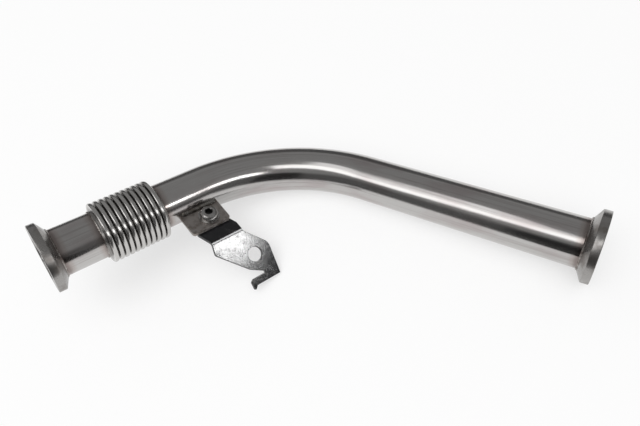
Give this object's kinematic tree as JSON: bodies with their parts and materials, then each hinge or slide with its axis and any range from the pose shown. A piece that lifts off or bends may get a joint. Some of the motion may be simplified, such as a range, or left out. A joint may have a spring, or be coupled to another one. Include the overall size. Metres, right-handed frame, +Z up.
{
  "type": "exhaust gas recirculation pipe",
  "caption": "Bent stainless exhaust gas recirculation pipe with a short flexible bellows, a clamp flange on each end and a black support bracket screwed to a welded tab.",
  "frame": {"origin": "centre of the footprint, on the surface that the pipe lies on", "axes": "+X from the inlet flange with the bellows towards the outlet flange, +Y towards the arch of the bend, +Z up as the pipe lies on the underside of its bend, the rim of its outlet flange and the toe of its bracket"},
  "size_m": [0.3998, 0.1382, 0.1032],
  "materials": {
    "tube_steel": "polished lengthwise, faint heat tint near the welds",
    "flange_steel": "turned",
    "bellows_steel": "satin, bright on the crests",
    "weld_steel": "rippled weld metal, straw and brown tint",
    "tab_steel": "mill finish",
    "bracket_paint": "glossy black powder coat",
    "screw_steel": "dull",
    "washer_steel": "dull",
    "nut_steel": "dull"
  },
  "bodies": {
    "root": {"inlet_flange": "flange_steel", "inlet_flange_weld": "weld_steel", "inlet_tube": "tube_steel", "bellows_inlet_weld": "weld_steel", "bellows": "bellows_steel", "bellows_outlet_weld": "weld_steel", "main_tube": "tube_steel", "outlet_flange_weld": "weld_steel", "outlet_flange": "flange_steel", "mounting_tab": "tab_steel", "tab_weld_upper": "weld_steel", "tab_weld_lower": "weld_steel", "support_bracket": "bracket_paint", "bracket_washer": "washer_steel", "bracket_screw": "screw_steel", "bracket_nut": "nut_steel"}
  },
  "joints": []
}
